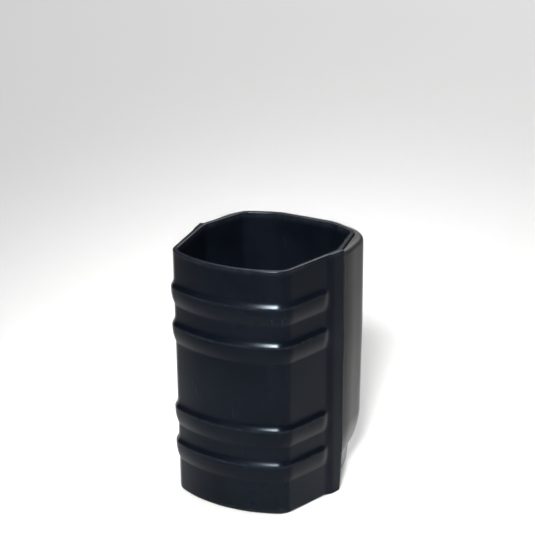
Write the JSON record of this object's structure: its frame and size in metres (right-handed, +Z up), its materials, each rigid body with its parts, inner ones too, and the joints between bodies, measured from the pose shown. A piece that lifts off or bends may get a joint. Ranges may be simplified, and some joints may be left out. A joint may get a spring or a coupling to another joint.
{
  "type": "car bottle holder",
  "caption": "Moulded plastic cup with raised horizontal bands, bowed front and faceted back, on an open-fronted rear bracket that screws to a vehicle panel.",
  "frame": {"origin": "base plane, in the middle of the overall width and depth", "axes": "+Z up out of the cup's mouth, +Y towards the panel that the bracket is fixed to, +X to the right when the cup's bowed front is looked at"},
  "size_m": [0.072, 0.0769, 0.108],
  "materials": {
    "cup_plastic": "satin moulded plastic, blue-black",
    "bracket_plastic": "satin moulded plastic, blue-black",
    "screw_steel": "zinc-plated steel"
  },
  "bodies": {
    "root": {"holder_cup": "cup_plastic", "rear_bracket": "bracket_plastic", "cup_screws": "screw_steel"}
  },
  "joints": []
}
